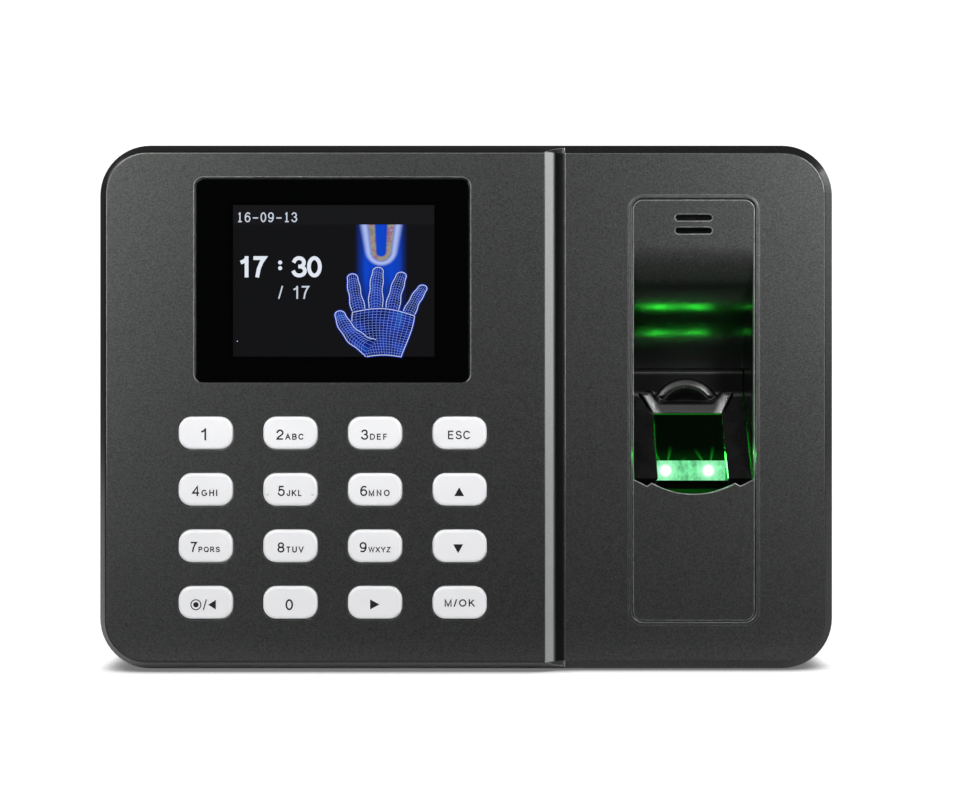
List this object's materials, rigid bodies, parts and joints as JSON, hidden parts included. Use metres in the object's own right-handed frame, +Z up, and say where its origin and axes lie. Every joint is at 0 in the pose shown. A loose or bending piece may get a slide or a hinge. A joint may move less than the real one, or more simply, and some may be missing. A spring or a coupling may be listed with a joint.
{
  "type": "fingerprint scanner terminal",
  "caption": "Wall-mounted fingerprint time and access terminal with colour display, keypad, hooded optical sensor and slide-on wall bracket.",
  "frame": {"origin": "centre of the wall bracket's four screw holes, on its back face, which lies on the wall", "axes": "+X to the user's right along the width, +Y into the wall, +Z up"},
  "size_m": [0.175, 0.037, 0.125],
  "materials": {
    "gunmetal_paint": "satin metallic gunmetal paint over moulded plastic",
    "black_shell": "fine spark-eroded black moulding",
    "black_lens": "polished acrylic printed black behind",
    "foam_tape": "thin double-sided foam tape",
    "white_film": "diffusing film stack",
    "lcd_glass": "colour display glass",
    "flex_film": "amber flexible circuit",
    "key_white": "white moulded key with black print",
    "silicone": "grey silicone rubber",
    "circuit_board": "green solder mask",
    "black_moulding": "semi-gloss black moulding",
    "optical_glass": "optical prism lit green from behind",
    "led_body": "lit green emitter",
    "cable_jacket": "thin cable jacket",
    "speaker_can": "black speaker basket",
    "chip_black": "moulded component bodies",
    "socket_metal": "tinned steel shield",
    "screw_steel": "zinc-plated steel",
    "bare_steel": "stamped steel",
    "bracket_steel": "black powder coat on steel sheet"
  },
  "bodies": {
    "housing": {"front_cover": "gunmetal_paint", "sensor_bezel": "gunmetal_paint", "rear_housing": "black_shell", "display_lens": "black_lens", "lens_adhesive": "foam_tape", "lcd_frame": "bare_steel", "lcd_backlight": "white_film", "lcd_glass": "lcd_glass", "lcd_bracket": "bare_steel", "lcd_ribbon": "flex_film", "keypad_membrane": "silicone", "keypad_pcb": "circuit_board", "keypad_ribbon": "flex_film", "sensor_housing": "black_moulding", "sensor_prism": "optical_glass", "sensor_led_board": "circuit_board", "sensor_leds": "led_body", "sensor_lens": "black_moulding", "sensor_camera_board": "circuit_board", "sensor_cable": "cable_jacket", "speaker": "speaker_can", "speaker_wires": "cable_jacket", "main_pcb": "circuit_board", "pcb_components": "chip_black", "wifi_module": "socket_metal", "wifi_antenna": "circuit_board", "antenna_lead": "cable_jacket", "coin_cell": "socket_metal", "coin_cell_holder": "chip_black", "usb_port": "socket_metal", "ethernet_port": "socket_metal", "power_jack": "chip_black", "case_screws": "screw_steel", "keypad_screws": "screw_steel", "lcd_screws": "screw_steel", "bezel_screws": "screw_steel", "sensor_screws": "screw_steel", "main_pcb_screws": "screw_steel"},
    "bracket": {"wall_bracket": "bracket_steel", "bracket_lock_screw": "screw_steel"},
    "key_1": {"key_1": "key_white"},
    "key_2": {"key_2": "key_white"},
    "key_3": {"key_3": "key_white"},
    "key_esc": {"key_esc": "key_white"},
    "key_4": {"key_4": "key_white"},
    "key_5": {"key_5": "key_white"},
    "key_6": {"key_6": "key_white"},
    "key_up": {"key_up": "key_white"},
    "key_7": {"key_7": "key_white"},
    "key_8": {"key_8": "key_white"},
    "key_9": {"key_9": "key_white"},
    "key_down": {"key_down": "key_white"},
    "key_power_left": {"key_power_left": "key_white"},
    "key_0": {"key_0": "key_white"},
    "key_right": {"key_right": "key_white"},
    "key_menu_ok": {"key_menu_ok": "key_white"}
  },
  "joints": [
    {"name": "key_1_press", "type": "slide", "parent": "housing", "child": "key_1", "axis": [0, 1, 0], "range_m": [0, 0.001], "stiffness_N_per_m": 120, "deforming": ["keypad_membrane"]},
    {"name": "key_2_press", "type": "slide", "parent": "housing", "child": "key_2", "axis": [0, 1, 0], "range_m": [0, 0.001], "stiffness_N_per_m": 120, "deforming": ["keypad_membrane"]},
    {"name": "key_3_press", "type": "slide", "parent": "housing", "child": "key_3", "axis": [0, 1, 0], "range_m": [0, 0.001], "stiffness_N_per_m": 120, "deforming": ["keypad_membrane"]},
    {"name": "key_esc_press", "type": "slide", "parent": "housing", "child": "key_esc", "axis": [0, 1, 0], "range_m": [0, 0.001], "stiffness_N_per_m": 120, "deforming": ["keypad_membrane"]},
    {"name": "key_4_press", "type": "slide", "parent": "housing", "child": "key_4", "axis": [0, 1, 0], "range_m": [0, 0.001], "stiffness_N_per_m": 120, "deforming": ["keypad_membrane"]},
    {"name": "key_5_press", "type": "slide", "parent": "housing", "child": "key_5", "axis": [0, 1, 0], "range_m": [0, 0.001], "stiffness_N_per_m": 120, "deforming": ["keypad_membrane"]},
    {"name": "key_6_press", "type": "slide", "parent": "housing", "child": "key_6", "axis": [0, 1, 0], "range_m": [0, 0.001], "stiffness_N_per_m": 120, "deforming": ["keypad_membrane"]},
    {"name": "key_up_press", "type": "slide", "parent": "housing", "child": "key_up", "axis": [0, 1, 0], "range_m": [0, 0.001], "stiffness_N_per_m": 120, "deforming": ["keypad_membrane"]},
    {"name": "key_7_press", "type": "slide", "parent": "housing", "child": "key_7", "axis": [0, 1, 0], "range_m": [0, 0.001], "stiffness_N_per_m": 120, "deforming": ["keypad_membrane"]},
    {"name": "key_8_press", "type": "slide", "parent": "housing", "child": "key_8", "axis": [0, 1, 0], "range_m": [0, 0.001], "stiffness_N_per_m": 120, "deforming": ["keypad_membrane"]},
    {"name": "key_9_press", "type": "slide", "parent": "housing", "child": "key_9", "axis": [0, 1, 0], "range_m": [0, 0.001], "stiffness_N_per_m": 120, "deforming": ["keypad_membrane"]},
    {"name": "key_down_press", "type": "slide", "parent": "housing", "child": "key_down", "axis": [0, 1, 0], "range_m": [0, 0.001], "stiffness_N_per_m": 120, "deforming": ["keypad_membrane"]},
    {"name": "key_power_left_press", "type": "slide", "parent": "housing", "child": "key_power_left", "axis": [0, 1, 0], "range_m": [0, 0.001], "stiffness_N_per_m": 120, "deforming": ["keypad_membrane"]},
    {"name": "key_0_press", "type": "slide", "parent": "housing", "child": "key_0", "axis": [0, 1, 0], "range_m": [0, 0.001], "stiffness_N_per_m": 120, "deforming": ["keypad_membrane"]},
    {"name": "key_right_press", "type": "slide", "parent": "housing", "child": "key_right", "axis": [0, 1, 0], "range_m": [0, 0.001], "stiffness_N_per_m": 120, "deforming": ["keypad_membrane"]},
    {"name": "key_menu_ok_press", "type": "slide", "parent": "housing", "child": "key_menu_ok", "axis": [0, 1, 0], "range_m": [0, 0.001], "stiffness_N_per_m": 120, "deforming": ["keypad_membrane"]},
    {"name": "bracket_slide", "type": "slide", "parent": "housing", "child": "bracket", "axis": [0, 0, -1], "range_m": [0, 0.007]}
  ]
}
